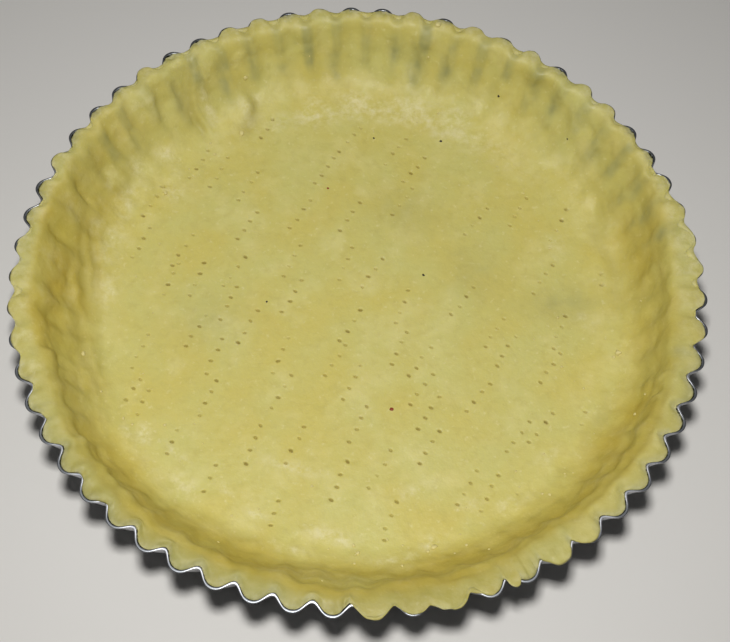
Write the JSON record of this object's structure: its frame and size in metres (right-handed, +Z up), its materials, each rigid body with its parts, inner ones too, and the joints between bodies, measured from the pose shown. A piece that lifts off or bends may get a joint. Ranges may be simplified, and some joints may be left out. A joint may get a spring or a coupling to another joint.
{
  "type": "unbaked pastry case in a fluted tart tin",
  "caption": "Raw shortcrust pastry pressed into a fluted metal tart tin, pricked with a fork and ready to bake, with no filling.",
  "frame": {"origin": "middle of the tin's flat underside", "axes": "+Z up out of the case; -Y towards the cook; +X to the cook's right"},
  "size_m": [0.2798, 0.2808, 0.0372],
  "materials": {
    "tinplate": "bright tinned steel, folded at the edge",
    "raw_pastry": "soft buttery raw dough, slightly greasy, with floury patches"
  },
  "bodies": {
    "root": {"tart_tin": "tinplate", "pastry_case": "raw_pastry"}
  },
  "joints": []
}
